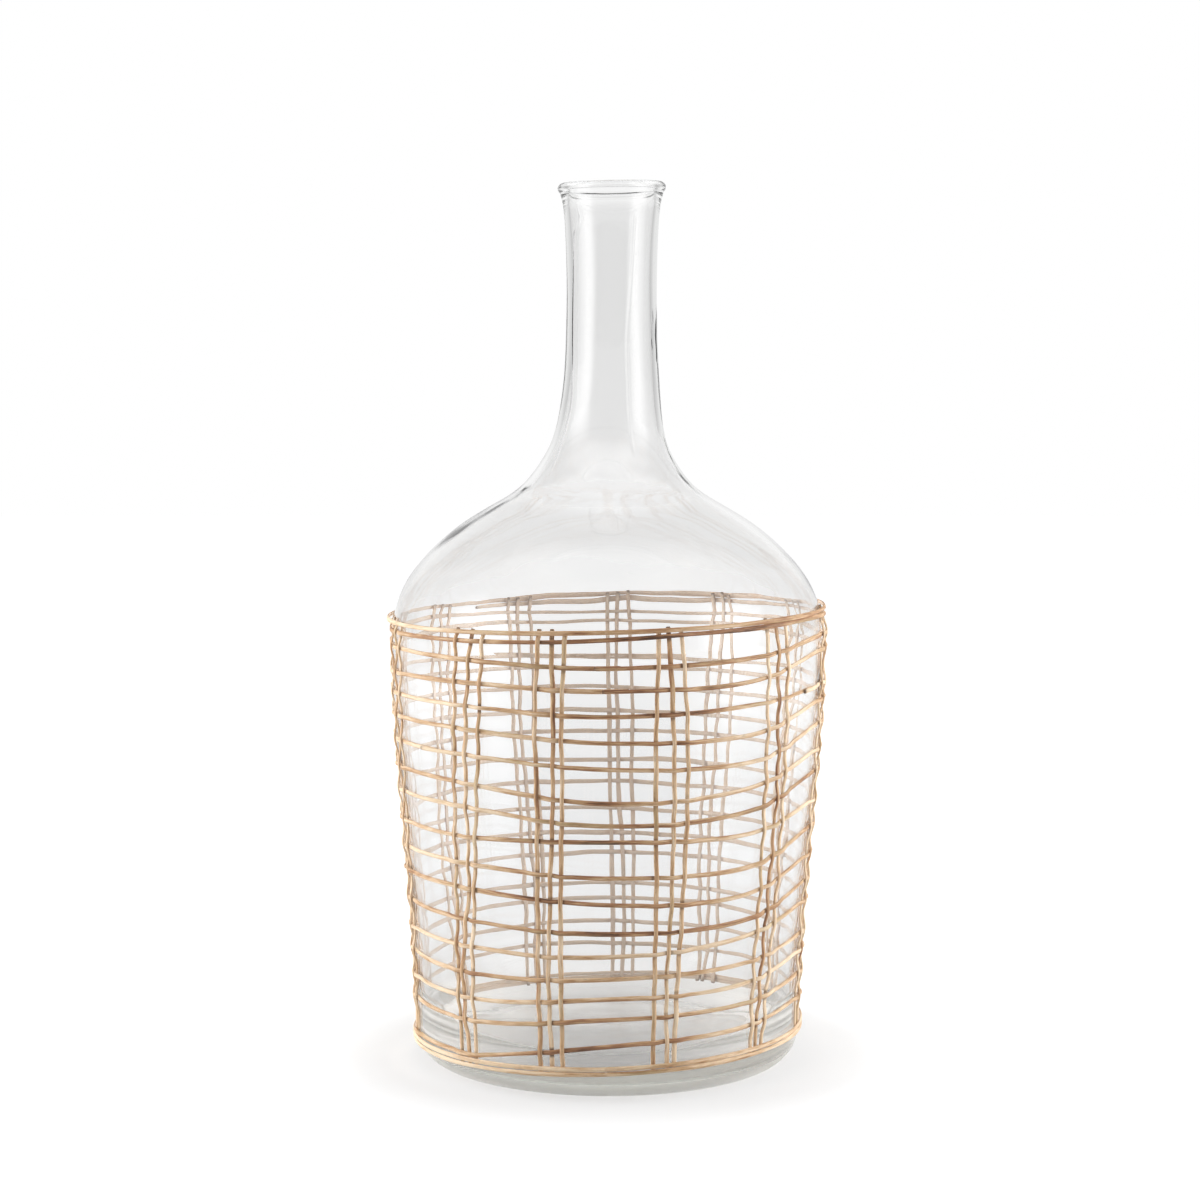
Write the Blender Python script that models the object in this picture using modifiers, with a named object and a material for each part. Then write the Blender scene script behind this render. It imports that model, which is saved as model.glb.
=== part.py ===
"""Tall glass bottle in an open woven rattan jacket.

A blown bottle with a rolled lip stands on a flat ring round a shallow punt.
Twelve groups of three upright stakes run down its body. One long weaver, pieced
together from several lengths of split cane, climbs round them as a spiral and
passes over one stake and under the next. A border hoop closes the jacket at the
shoulder and a pair of hoops closes it above the heel.

Units are metres, +Z is up, the origin is the middle of the base. Azimuths are
in degrees: 0 faces -Y, the front, and they grow towards +X.
"""
import bpy
from math import atan2, ceil, cos, degrees, hypot, radians, sin
from mathutils import Matrix, Vector

# Glass bottle, outside
BOTTLE_HEIGHT = 0.500
FOOT_RADIUS = 0.0955
FOOT_WIDTH = 0.008
HEEL_RADIUS = 0.1100
HEEL_HEIGHT = 0.016
BODY_RADIUS = 0.1234
SHOULDER_HEIGHT = 0.248
SHOULDER_RISE = 0.087
SHOULDER_POWER = 1.8
SHOULDER_END_SHARE = 0.82
NECK_BLEND_RISE = 0.050
NECK_BLEND_RADIUS = 0.0275
NECK_WAIST_RISE = 0.045
NECK_RADIUS = 0.0256
NECK_TOP_RADIUS = 0.0280
LIP_RADIUS = 0.0312
LIP_BEAD_RADIUS = 0.0036
LIP_FILLET = 0.0011

# Points of the outside: angles round the lip's bead, then shares of the way from
# the waist up to the lip, up the shoulder, up the body and up the heel
LIP_ANGLES = (90, 50, 15, -20, -55, -85)
NECK_SHARES = (1, 0.6, 0.2)
SHOULDER_SHARES = (0.68, 0.52, 0.36, 0.2, 0.08, 0)
BODY_SHARES = (0.72, 0.45, 0.2, 0)
HEEL_SHARES = (0.45, 0.15, 0)

# Curve from neck to shoulder: how far its ends run straight on, as shares of its
# height at the neck and of its run at the shoulder
NECK_REACH_SHARE = 0.62
SHOULDER_REACH_SHARE = 0.45
NECK_CURVE_POINTS = 6

# Glass bottle, inside
WALL = 0.0032
FLOOR_THICKNESS = 0.010
INNER_HEEL_RADIUS = 0.032
PUNT_RISE = 0.005
PUNT_EDGE_SHARES = (0.8, 0.75)
MOUTH_EDGE_DROP = 0.0012
MOUTH_DEPTH = 0.0144
INSIDE_HEEL_ANGLES = (0, 30, 60, 90)
BOTTLE_SEGMENTS = 48
MERGE_DISTANCE = 0.000003

# Split cane of the jacket: flat back, ridged face
CANE_WIDTH = 0.0025
CANE_THICKNESS = 0.0011
CLEARANCE = 0.0003

# Borders
TOP_BORDER_RISE = 0.009
TOP_BORDER_TILT = 0.0032
TOP_BORDER_DIP = 0.0010
BOTTOM_BORDER_HEIGHT = 0.016
BOTTOM_BORDER_TILT = 0.0035
BORDER_SEGMENTS = 48
STAKE_END_LENGTH = 0.0012

# Stakes: neighbours in a group stand at least one close spacing apart
STAKE_SIDES = ("left", "middle", "right")
STAKE_GAP = 0.0018
STAKE_LOOSENESS = 0.0062
STAKE_LEAN = 0.020

# Weaver
LONGEST_CHORD_ANGLE = 9.5
LAP_LENGTH = 0.014
WEAVER_START = (0, -80)
WEAVER_END = (16, 222)
NEAR_BORDER_SHARE = 1.25
CROSSING_ROUNDS = 4

# Each group has the azimuth of its middle stake at the top, and a pattern
STAKE_GROUPS = (
    (-13.7, "steady"), (15.2, "gathered"), (47.8, "bowed"), (80.0, "steady"),
    (112.5, "bowed"), (144.2, "gathered"), (177.3, "steady"), (206.6, "steady"),
    (235.4, "bowed"), (262.0, "gathered"), (289.0, "leaning"), (324.2, "leaning"),
)

# For each pattern, at six even steps from the top border to the bottom one:
# drift of the middle stake to the right as a share of STAKE_LEAN, then how far
# the left and the right stake stand off it as shares of STAKE_LOOSENESS
STAKE_PATTERN_SHARES = {
    "steady": ((0.00, 0.50, 0.40), (0.01, 0.90, 0.10), (-0.05, 0.75, 0.20),
               (-0.18, 0.50, 0.30), (-0.28, 0.32, 0.52), (-0.21, 0.52, 0.42)),
    "gathered": ((0.00, 0.22, 0.42), (0.14, 0.78, 0.60), (0.22, 0.95, 0.60),
                 (0.24, 0.84, 0.38), (0.15, 0.55, 0.36), (0.18, 0.68, 0.00)),
    "bowed": ((0.00, 0.56, 0.68), (0.12, 0.70, 0.62), (0.29, 1.00, 0.28),
              (0.23, 0.60, 0.70), (0.11, 0.42, 0.60), (-0.05, 0.00, 0.12)),
    "leaning": ((0.00, 1.00, 0.56), (-0.27, 0.62, 0.78), (-0.41, 0.76, 0.50),
                (-0.51, 0.98, 0.00), (-0.98, 0.00, 0.62), (-0.80, 0.42, 0.20)),
}

# Heights of the weaver on each turn, bottom turn first, 45 degrees to the left,
# in the middle, 40 degrees to the right and at the back, as shares of the way
# from the bottom border to the top one
TURN_HEIGHT_SHARES = (
    (0.009, 0.061, 0.076, 0.098), (0.093, 0.122, 0.132, 0.155), (0.145, 0.169, 0.177, 0.215),
    (0.205, 0.216, 0.227, 0.254), (0.266, 0.266, 0.288, 0.333), (0.329, 0.320, 0.328, 0.384),
    (0.403, 0.386, 0.387, 0.446), (0.460, 0.448, 0.451, 0.515), (0.523, 0.530, 0.528, 0.573),
    (0.592, 0.566, 0.582, 0.646), (0.647, 0.617, 0.635, 0.697), (0.713, 0.694, 0.694, 0.759),
    (0.771, 0.753, 0.757, 0.813), (0.823, 0.811, 0.824, 0.844), (0.876, 0.868, 0.878, 0.932),
    (0.928, 0.919, 0.930, 0.962), (0.968, 0.980, 1.000, 1.000),
)
LEFT_ANGLE = 45
RIGHT_ANGLE = 40
BACK_ANGLE = 180

# Most of the climb from the right to the back is done soon after the right
CLIMB_ANGLE = 70
CLIMB_SHARE = 0.8

# Where one length of cane ends under the start of the next: turn, azimuth
LAPS = ((2, 97), (5, 161), (8, 249), (11, -53), (13, 64), (14, 2), (15, 0))

# Colours seen on the cane, from honey to cream
CANE_COLOURS = (
    (0.60, 0.42, 0.24), (0.71, 0.55, 0.35), (0.53, 0.34, 0.19),
    (0.66, 0.47, 0.27), (0.76, 0.62, 0.42),
)
CANE_ROUGHNESS = 0.55
GLASS_COLOUR = (0.93, 0.95, 0.94)
GLASS_ROUGHNESS = 0.03

# Worked out from the sizes above
FULL_TURN = 360
STAKES_IN_GROUP = len(STAKE_SIDES)
STAKE_COUNT = STAKES_IN_GROUP * len(STAKE_GROUPS)
NECK_BLEND_HEIGHT = SHOULDER_HEIGHT + SHOULDER_RISE + NECK_BLEND_RISE
NECK_WAIST_HEIGHT = NECK_BLEND_HEIGHT + NECK_WAIST_RISE
TOP_BORDER_HEIGHT = SHOULDER_HEIGHT + TOP_BORDER_RISE
CLOSE_SPACING = CANE_WIDTH + STAKE_GAP
CHORD_SAG = BODY_RADIUS * (1 - cos(radians(LONGEST_CHORD_ANGLE) / 2))
SEAT = CLEARANCE + CHORD_SAG
LAP_LEVEL = CANE_THICKNESS + CLEARANCE
OVER_LEVEL = LAP_LEVEL / (1 - CANE_WIDTH / 2 / CLOSE_SPACING)
BORDER_SPACING = CANE_WIDTH + CLEARANCE
BORDER_LEVEL = LAP_LEVEL + OVER_LEVEL * CANE_WIDTH / 2 / BORDER_SPACING
JACKET_HEIGHT = TOP_BORDER_HEIGHT - BOTTOM_BORDER_HEIGHT
LAP_ANGLE = degrees(LAP_LENGTH / BODY_RADIUS)


def smooth_value(knots, x):
    """Value at x of a smooth curve through (x, value) knots in rising x."""
    last = len(knots) - 1
    k = max([i for i in range(last) if knots[i][0] <= x], default=0)

    def slope(i):
        before, after = knots[max(i - 1, 0)], knots[min(i + 1, last)]
        return (after[1] - before[1]) / (after[0] - before[0])

    (x0, y0), (x1, y1) = knots[k], knots[k + 1]
    span = x1 - x0
    u = min(max((x - x0) / span, 0), 1)
    rise = y0 + (y1 - y0) * u * u * (3 - 2 * u)
    return rise + span * u * (1 - u) * (slope(k) * (1 - u) - slope(k + 1) * u)


def body_radius(z):
    """Outer radius of the glass from the foot to the shoulder at height z."""
    if z < HEEL_HEIGHT:
        drop = (HEEL_HEIGHT - z) / HEEL_HEIGHT
        return FOOT_RADIUS + (HEEL_RADIUS - FOOT_RADIUS) * (1 - drop * drop) ** 0.5
    if z > SHOULDER_HEIGHT:
        rise = (z - SHOULDER_HEIGHT) / SHOULDER_RISE
        return BODY_RADIUS * (1 - rise ** SHOULDER_POWER) ** (1 / SHOULDER_POWER)
    u = (z - HEEL_HEIGHT) / (SHOULDER_HEIGHT - HEEL_HEIGHT)
    return HEEL_RADIUS + (BODY_RADIUS - HEEL_RADIUS) * u * u * (3 - 2 * u)


def shoulder_slope(share):
    """Inward run of the shoulder for each unit of rise, at a share of its rise."""
    left = 1 - share ** SHOULDER_POWER
    bend = share ** (SHOULDER_POWER - 1) * left ** (1 / SHOULDER_POWER - 1)
    return BODY_RADIUS / SHOULDER_RISE * bend


def bezier(ends_and_handles, count):
    """Points of a cubic curve in the profile plane, ends included."""
    points = []
    for i in range(count + 1):
        t = i / count
        weights = ((1 - t) ** 3, 3 * t * (1 - t) ** 2, 3 * t * t * (1 - t), t ** 3)
        pairs = list(zip(weights, ends_and_handles))
        points.append((sum(w * p[0] for w, p in pairs), sum(w * p[1] for w, p in pairs)))
    return points


def neck_curve():
    """Curve from the foot of the neck out into the shoulder."""
    end_height = SHOULDER_HEIGHT + SHOULDER_RISE * SHOULDER_END_SHARE
    end = (body_radius(end_height), end_height)
    run = (end[0] - NECK_BLEND_RADIUS) * SHOULDER_REACH_SHARE
    above_shoulder = (end[0] - run, end_height + run / shoulder_slope(SHOULDER_END_SHARE))
    drop = (NECK_BLEND_HEIGHT - end_height) * NECK_REACH_SHARE
    below_neck = (NECK_BLEND_RADIUS, NECK_BLEND_HEIGHT - drop)
    start = (NECK_BLEND_RADIUS, NECK_BLEND_HEIGHT)
    return bezier((start, below_neck, above_shoulder, end), NECK_CURVE_POINTS)


def outer_profile():
    """Outside of the bottle as (radius, height), from the top of the lip to the foot."""
    bead_height = BOTTLE_HEIGHT - LIP_BEAD_RADIUS
    bead_axis = LIP_RADIUS - LIP_BEAD_RADIUS
    points = []
    for angle in LIP_ANGLES:
        a = radians(angle)
        points.append((bead_axis + LIP_BEAD_RADIUS * cos(a), bead_height + LIP_BEAD_RADIUS * sin(a)))
    neck_length = bead_height - LIP_BEAD_RADIUS - LIP_FILLET - NECK_WAIST_HEIGHT
    for share in NECK_SHARES:
        radius = NECK_RADIUS + (NECK_TOP_RADIUS - NECK_RADIUS) * share ** 3
        points.append((radius, NECK_WAIST_HEIGHT + neck_length * share))
    points += neck_curve()
    heights = [SHOULDER_HEIGHT + SHOULDER_RISE * share for share in SHOULDER_SHARES]
    heights += [HEEL_HEIGHT + (SHOULDER_HEIGHT - HEEL_HEIGHT) * share for share in BODY_SHARES]
    heights += [HEEL_HEIGHT * share for share in HEEL_SHARES]
    return points + [(body_radius(height), height) for height in heights]


def inner_profile(outer):
    """Inside of the bottle from the mouth down: a wall inside the outside, and a thick floor."""
    bore = NECK_RADIUS - WALL
    mouth = LIP_RADIUS - 2 * LIP_BEAD_RADIUS
    points = [(mouth, BOTTLE_HEIGHT - MOUTH_EDGE_DROP), (bore, BOTTLE_HEIGHT - MOUTH_DEPTH),
              (bore, NECK_WAIST_HEIGHT)]
    heel_top = FLOOR_THICKNESS + INNER_HEEL_RADIUS
    wall_points = []
    for before, here, after in zip(outer, outer[1:], outer[2:]):
        run, rise = after[0] - before[0], after[1] - before[1]
        length = hypot(run, rise)
        radius, height = here[0] + WALL * rise / length, here[1] - WALL * run / length
        if here[1] < NECK_WAIST_HEIGHT and height > heel_top + WALL:
            wall_points.append((radius, height))
    points += wall_points[::2]
    corner = body_radius(heel_top) - WALL
    for angle in INSIDE_HEEL_ANGLES:
        a = radians(angle)
        points.append((corner - INNER_HEEL_RADIUS * (1 - cos(a)), heel_top - INNER_HEEL_RADIUS * sin(a)))
    points.append((0, FLOOR_THICKNESS + PUNT_RISE))
    return points


def new_material(name, colour, roughness, transmission=0):
    material = bpy.data.materials.new(name)
    material.use_nodes = True
    shader = material.node_tree.nodes["Principled BSDF"]
    shader.inputs["Base Color"].default_value = (*colour, 1)
    shader.inputs["Roughness"].default_value = roughness
    shader.inputs["Metallic"].default_value = 0
    shader.inputs["Transmission Weight"].default_value = transmission
    material.diffuse_color = (*colour, 1)
    return material


def add_bottle(collection):
    outer = outer_profile()
    foot_inside = FOOT_RADIUS - FOOT_WIDTH
    edge_radius, edge_rise = PUNT_EDGE_SHARES
    under = [(foot_inside, 0), (foot_inside * edge_radius, PUNT_RISE * edge_rise), (0, PUNT_RISE)]
    inner = inner_profile(outer)
    profile = inner[::-1] + outer + under
    mesh = bpy.data.meshes.new("glass_bottle")
    edges = [(i, i + 1) for i in range(len(profile) - 1)]
    mesh.from_pydata([(radius, 0, height) for radius, height in profile], edges, [])
    bottle = bpy.data.objects.new("glass_bottle", mesh)
    collection.objects.link(bottle)
    screw = bottle.modifiers.new("turn", 'SCREW')
    screw.steps = screw.render_steps = BOTTLE_SEGMENTS
    screw.use_merge_vertices = True
    screw.merge_threshold = MERGE_DISTANCE
    screw.use_smooth_shade = True
    mesh.materials.append(new_material("glass_bottle", GLASS_COLOUR, GLASS_ROUGHNESS, 1))
    return bottle


def cane_section(name, corners, collection):
    """Guide curve with the outline of the split cane."""
    curve = bpy.data.curves.new(name, 'CURVE')
    curve.dimensions = '2D'
    curve.fill_mode = 'NONE'
    spline = curve.splines.new('POLY')
    spline.points.add(len(corners) - 1)
    for point, (x, y) in zip(spline.points, corners):
        point.co = (x, y, 0, 1)
    spline.use_cyclic_u = True
    guide = bpy.data.objects.new(name, curve)
    guide.hide_render = True
    guide.display_type = 'WIRE'
    collection.objects.link(guide)
    return guide


def add_cane(name, points, section, colour, collection, closed=False):
    """Length of split cane along points, with its back to the glass."""
    curve = bpy.data.curves.new(name, 'CURVE')
    curve.dimensions = '3D'
    curve.twist_mode = 'Z_UP'
    curve.bevel_mode = 'OBJECT'
    curve.bevel_object = section
    curve.use_fill_caps = not closed
    spline = curve.splines.new('POLY')
    spline.points.add(len(points) - 1)
    for point, position in zip(spline.points, points):
        point.co = (*position, 1)
    spline.use_cyclic_u = closed
    spline.use_smooth = False
    cane = bpy.data.objects.new(name, curve)
    curve.materials.append(new_material(name, colour, CANE_ROUGHNESS))
    collection.objects.link(cane)
    return cane


def seat_radius(z):
    """Radius of the flat back of cane that lies on the glass at height z."""
    return max(body_radius(z - CANE_WIDTH / 2), body_radius(z + CANE_WIDTH / 2)) + SEAT


def place(azimuth, z, level):
    """Point at an azimuth and height, a level above the seat on the glass."""
    a = radians(azimuth)
    radius = seat_radius(z) + level
    return (radius * sin(a), -radius * cos(a), z)


def top_border_height(azimuth):
    a = radians(azimuth)
    return TOP_BORDER_HEIGHT + TOP_BORDER_TILT * sin(a) - TOP_BORDER_DIP * cos(a)


def bottom_border_height(azimuth):
    return BOTTOM_BORDER_HEIGHT + BOTTOM_BORDER_TILT * sin(radians(azimuth))


def weaver_knots():
    """Height of the weaver along its winding angle, which grows by a turn each row."""
    knots = []
    for turn, (left, middle, right, back) in enumerate(TURN_HEIGHT_SHARES):
        start = turn * FULL_TURN
        knots += [(start - LEFT_ANGLE, left), (start, middle), (start + RIGHT_ANGLE, right)]
        knots += [(start + CLIMB_ANGLE, right + (back - right) * CLIMB_SHARE), (start + BACK_ANGLE, back)]
    return [(angle, BOTTOM_BORDER_HEIGHT + share * JACKET_HEIGHT) for angle, share in knots]


WEAVER_KNOTS = weaver_knots()


def weaver_height(winding):
    """Height of the weaver, which lies against the borders where it would run into them."""
    lowest = bottom_border_height(winding) + 2 * BORDER_SPACING
    highest = top_border_height(winding) - BORDER_SPACING
    return min(max(smooth_value(WEAVER_KNOTS, winding), lowest), highest)


def beside_border(winding):
    """Whether the weaver is so near to a border that it shares the border's way over the stakes."""
    z = weaver_height(winding)
    near = BORDER_SPACING * NEAR_BORDER_SHARE
    return z < bottom_border_height(winding) + BORDER_SPACING + near or z > top_border_height(winding) - near


def stake_azimuth(group, member, z):
    """Azimuth of a stake at height z: member -1 is left, 0 middle, 1 right."""
    azimuth, pattern = STAKE_GROUPS[group]
    rows = STAKE_PATTERN_SHARES[pattern]
    step = JACKET_HEIGHT / (len(rows) - 1)
    depths = [(step * i, row) for i, row in enumerate(rows)]
    depth = min(max(TOP_BORDER_HEIGHT - z, 0), JACKET_HEIGHT)
    offset = STAKE_LEAN * smooth_value([(d, row[0]) for d, row in depths], depth)
    if member:
        side = 1 if member < 0 else 2
        share = max(smooth_value([(d, row[side]) for d, row in depths], depth), 0)
        offset += member * (CLOSE_SPACING + STAKE_LOOSENESS * share)
    return azimuth + degrees(offset / BODY_RADIUS)


def group_and_member(stake):
    group, side = divmod(stake, STAKES_IN_GROUP)
    return group, side - 1


def find_crossings():
    """Every crossing of weaver and stake as (winding, height, stake, over).

    Stakes count from the group right of the weaver's start. The weaver passes
    over and under in turn, and as it skips one change on each turn, just before
    that group, every turn is the opposite of the one below. Beside a border it
    passes over every stake, as the border does.
    """
    first, last = winding_of(WEAVER_START), winding_of(WEAVER_END)
    crossings = []
    for turn in range(WEAVER_START[0] - 1, WEAVER_END[0] + 1):
        for stake in range(STAKE_COUNT):
            group, member = group_and_member(stake)
            winding = turn * FULL_TURN + STAKE_GROUPS[group][0]
            for _ in range(CROSSING_ROUNDS):
                z = weaver_height(winding)
                winding = turn * FULL_TURN + stake_azimuth(group, member, z)
            if first < winding < last:
                over = (stake + turn) % 2 == 1 or beside_border(winding)
                crossings.append((winding, weaver_height(winding), stake, over))
    return crossings


def winding_of(mark):
    turn, azimuth = mark
    return turn * FULL_TURN + azimuth


def stake_points(stake, crossings):
    """Route of a stake from its cut lower end to its end above the top border."""
    group, member = group_and_member(stake)
    own = [(z, 0 if over else OVER_LEVEL) for _, z, number, over in crossings if number == stake]
    azimuth = stake_azimuth(group, member, BOTTOM_BORDER_HEIGHT)
    low = bottom_border_height(azimuth)
    azimuth = stake_azimuth(group, member, TOP_BORDER_HEIGHT)
    high = top_border_height(azimuth)
    stations = [(low - CANE_WIDTH / 2, 0), (low + BORDER_SPACING + CANE_WIDTH / 2, 0)] + own
    stations += [(high, 0), (high + CANE_WIDTH / 2 + STAKE_END_LENGTH, 0)]
    return [place(stake_azimuth(group, member, z), z, level) for z, level in stations]


def add_stake(stake, crossings, section, collection):
    """Upright cane, laid out along +X with its face to +Z and turned to its place."""
    points = stake_points(stake, crossings)
    a = atan2(sum(x for x, y, z in points), -sum(y for x, y, z in points))
    turn = Matrix(((0, -cos(a), sin(a), 0), (0, -sin(a), -cos(a), 0), (1, 0, 0, 0), (0, 0, 0, 1)))
    flat = [turn.transposed() @ Vector(point) for point in points]
    group, member = group_and_member(stake)
    name = "stake_%02d_%s" % (group + 1, STAKE_SIDES[member + 1])
    colour = CANE_COLOURS[stake % len(CANE_COLOURS)]
    cane = add_cane(name, flat, section, colour, collection)
    cane.matrix_world = turn
    return cane


def fill_long_spans(stations):
    """Adds stations on the glass where the next one is more than a chord away."""
    filled = [stations[0]]
    for winding, level in stations[1:]:
        before = filled[-1][0]
        count = ceil((winding - before) / LONGEST_CHORD_ANGLE)
        filled += [(before + (winding - before) * i / count, 0) for i in range(1, count)]
        filled.append((winding, level))
    return filled


def add_weavers(crossings, section, collection):
    """Lengths of cane that follow one another up the spiral, lapped at their ends."""
    half = LAP_ANGLE / 2
    cuts = [winding_of(mark) for mark in LAPS]
    starts = [winding_of(WEAVER_START)] + [cut - half for cut in cuts]
    ends = [cut + half for cut in cuts] + [winding_of(WEAVER_END)]
    tip = degrees(CANE_WIDTH / BODY_RADIUS)
    for number, (start, end) in enumerate(zip(starts, ends)):
        between = [(w, OVER_LEVEL if over else 0) for w, z, stake, over in crossings if start < w < end]
        head = [(start, 0)] if number == 0 else [(start, LAP_LEVEL), (start + LAP_ANGLE + tip, LAP_LEVEL)]
        tail = [(end, 0)] if number == len(cuts) else [(end - LAP_ANGLE - tip, 0), (end, 0)]
        stations = fill_long_spans(head + between + tail)
        points = [place(w, weaver_height(w), level) for w, level in stations]
        colour = CANE_COLOURS[(number + 1) % len(CANE_COLOURS)]
        add_cane("weaver_%d" % (number + 1), points, section, colour, collection)


def add_border(name, height, rise, level, colour, section, collection):
    """Closed hoop over the stakes, at a height for each azimuth."""
    points = []
    for i in range(BORDER_SEGMENTS):
        azimuth = FULL_TURN * i / BORDER_SEGMENTS
        points.append(place(azimuth, height(azimuth) + rise, level))
    return add_cane(name, points, section, colour, collection, closed=True)


def build():
    for old in list(bpy.data.objects):
        bpy.data.objects.remove(old)
    parts = bpy.data.collections.new("rattan_wrapped_bottle")
    guides = bpy.data.collections.new("guides")
    for collection in (parts, guides):
        bpy.context.scene.collection.children.link(collection)

    half, thick = CANE_WIDTH / 2, CANE_THICKNESS
    lying = cane_section("lying_cane_section", ((0, -half), (0, half), (thick, 0)), guides)
    upright = cane_section("upright_cane_section", ((-half, 0), (0, thick), (half, 0)), guides)

    add_bottle(parts)
    crossings = find_crossings()
    for stake in range(STAKE_COUNT):
        add_stake(stake, crossings, upright, parts)
    add_weavers(crossings, lying, parts)
    add_border("top_border", top_border_height, 0, BORDER_LEVEL, CANE_COLOURS[0], lying, parts)
    add_border("bottom_border_lower", bottom_border_height, 0, LAP_LEVEL, CANE_COLOURS[3], lying, parts)
    add_border("bottom_border_upper", bottom_border_height, BORDER_SPACING, LAP_LEVEL,
               CANE_COLOURS[1], lying, parts)


build()
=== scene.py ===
"""Studio picture of a tall glass bottle in an open woven rattan jacket.

The glass is one smooth, slightly uneven shell, and every length of cane is drawn again
where its solid lies, with a rounded face, fibres, stains, painted shade and light, and cut ends.

Units are metres, +Z is up. Azimuths are in degrees: 0 faces -Y, the front, and
they grow towards +X. The weaver's winding angle goes on growing from turn to turn.
"""
from math import cos, degrees, hypot, pi, radians, sin

import bpy
import numpy as np
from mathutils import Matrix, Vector, noise


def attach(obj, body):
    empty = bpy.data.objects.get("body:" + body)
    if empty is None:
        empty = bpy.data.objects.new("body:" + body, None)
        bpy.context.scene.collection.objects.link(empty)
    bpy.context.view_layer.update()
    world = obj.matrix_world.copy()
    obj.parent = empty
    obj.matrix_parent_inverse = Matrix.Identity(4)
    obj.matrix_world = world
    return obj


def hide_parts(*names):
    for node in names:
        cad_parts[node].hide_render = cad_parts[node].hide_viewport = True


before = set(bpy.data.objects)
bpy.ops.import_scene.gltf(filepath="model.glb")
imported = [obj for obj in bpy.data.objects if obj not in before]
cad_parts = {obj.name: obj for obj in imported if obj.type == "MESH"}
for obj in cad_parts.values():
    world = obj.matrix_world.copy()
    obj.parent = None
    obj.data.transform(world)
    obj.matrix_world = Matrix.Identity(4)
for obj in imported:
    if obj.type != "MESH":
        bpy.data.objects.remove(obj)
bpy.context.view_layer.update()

# Camera
CAMERA_DISTANCE = 1.500
CAMERA_HEIGHT = 0.3892
CAMERA_PITCH = 4.795
CAMERA_YAW = 0.164
LENS_MM = 78.68
SENSOR_MM = 36

# Glass bottle, outside
BOTTLE_HEIGHT = 0.500
FOOT_RADIUS = 0.0955
FOOT_WIDTH = 0.008
HEEL_RADIUS = 0.1100
HEEL_HEIGHT = 0.016
BODY_RADIUS = 0.1234
SHOULDER_HEIGHT = 0.248
SHOULDER_RISE = 0.087
SHOULDER_POWER = 1.8
LIP_RADIUS = 0.0307
LIP_BEAD_RADIUS = 0.0034
LIP_HALF_HEIGHT = 0.0032
NECK_END_HEIGHT = 0.243

# Outline from under the lip to the shoulder, as (radius, height)
NECK_OUTLINE = (
    (0.0280, 0.4914), (0.0272, 0.4850), (0.0263, 0.4720), (0.0257, 0.4520), (0.0256, 0.4340),
    (0.0264, 0.4040), (0.0282, 0.3790), (0.0318, 0.3570), (0.0390, 0.3418), (0.0505, 0.3276),
    (0.0665, 0.3178), (0.0835, 0.3075), (0.0975, 0.2960), (0.1083, 0.2845), (0.1161, 0.2735),
    (0.1208, 0.2620), (0.1230, 0.2530),
)

# Glass bottle, inside
FLOOR_THICKNESS = 0.010
INNER_HEEL_RADIUS = 0.032
PUNT_RISE = 0.005

# Thickness of the wall, as (height, thickness)
WALLS = ((0.032, 0.0036), (0.120, 0.0031), (0.250, 0.0027), (0.330, 0.0032), (0.400, 0.0038),
         (0.500, 0.0034))

# Rounded mouth, from the lip's inner side down, and the gap between it and the neck's wall
MOUTH_OUTLINE = ((0.0266, 0.5003), (0.0256, 0.4992), (0.0250, 0.4970), (0.0247, 0.4940))
MOUTH_GAP = 0.0066

# How finely the glass is drawn
GLASS_SEGMENTS = 240
GLASS_STEP = 0.0011
LIP_ANGLES = range(100, -56, -4)
HEEL_ANGLES = range(0, 91, 3)
BODY_ROWS = 60
PUNT_ROWS = 24
FLOOR_ROWS = 40
CURVE_STEPS = 12
SMOOTHING_STEP = 0.0010
SMOOTHING_ROUNDS = 50

# Unevenness of the glass: height of its waves, their length, and how much longer
# they are along the neck, where the glass was drawn out
OUTSIDE_WAVE = 0.00006
INSIDE_WAVE = 0.00014
FLOOR_WAVE = 0.00050
NECK_WAVE = 0.00026
WAVE_LENGTH = 0.040
RIPPLE_LENGTH = 0.013
NECK_RIPPLE_LENGTH = 0.0075
NECK_STRETCH = 7

# How strong the short ripples are beside the long waves
OUTSIDE_RIPPLE = 0.30
INSIDE_RIPPLE = 0.18
NECK_RIPPLE = 0.30
FLOOR_RIPPLE = 0.25

# Shifts that make the waves of the two sides differ
OUTSIDE_SHIFT = (4, 0, 0)
INSIDE_SHIFT = (4, 0, 9)

# The floor's waves grow between these heights. The waves fade towards the top of the
# lip within a depth, and towards the axis within a radius
FLOOR_WAVE_START = 0.030
FLOOR_WAVE_END = 0.016
EVEN_LIP_DEPTH = 0.03
EVEN_MIDDLE_RADIUS = 0.02

# Rough patch round the root of the neck: middle height, reach, and height and length of its waves
ROOT_HEIGHT = 0.328
ROOT_REACH = 0.009
ROOT_WAVE = 0.00010
ROOT_LENGTH = 0.0085

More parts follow.
